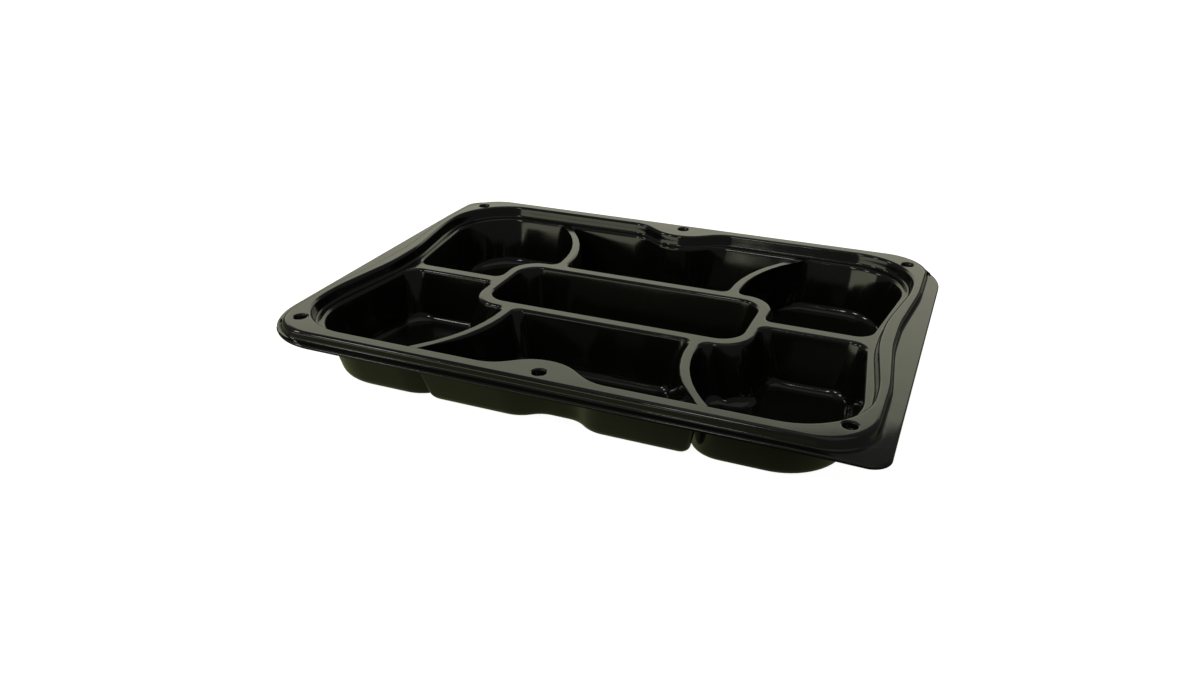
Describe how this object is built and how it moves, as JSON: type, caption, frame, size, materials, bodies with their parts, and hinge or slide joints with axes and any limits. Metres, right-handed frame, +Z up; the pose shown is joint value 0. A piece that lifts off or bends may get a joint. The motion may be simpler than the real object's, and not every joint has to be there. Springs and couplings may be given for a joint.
{
  "type": "compartment food tray",
  "caption": "Shallow glossy black plastic meal tray with rounded compartments, a raised rim with snap buttons for a lid, and a flat lip with pull tabs at two opposite corners.",
  "frame": {"origin": "middle of the tray in plan, on the surface that its compartment floors rest on", "axes": "+X along the long side, +Y along the short side, +Z up out of the compartments"},
  "size_m": [0.3026, 0.2256, 0.0345],
  "materials": {
    "black_plastic": "glossy vacuum-formed sheet"
  },
  "bodies": {
    "root": {"tray": "black_plastic"}
  },
  "joints": []
}
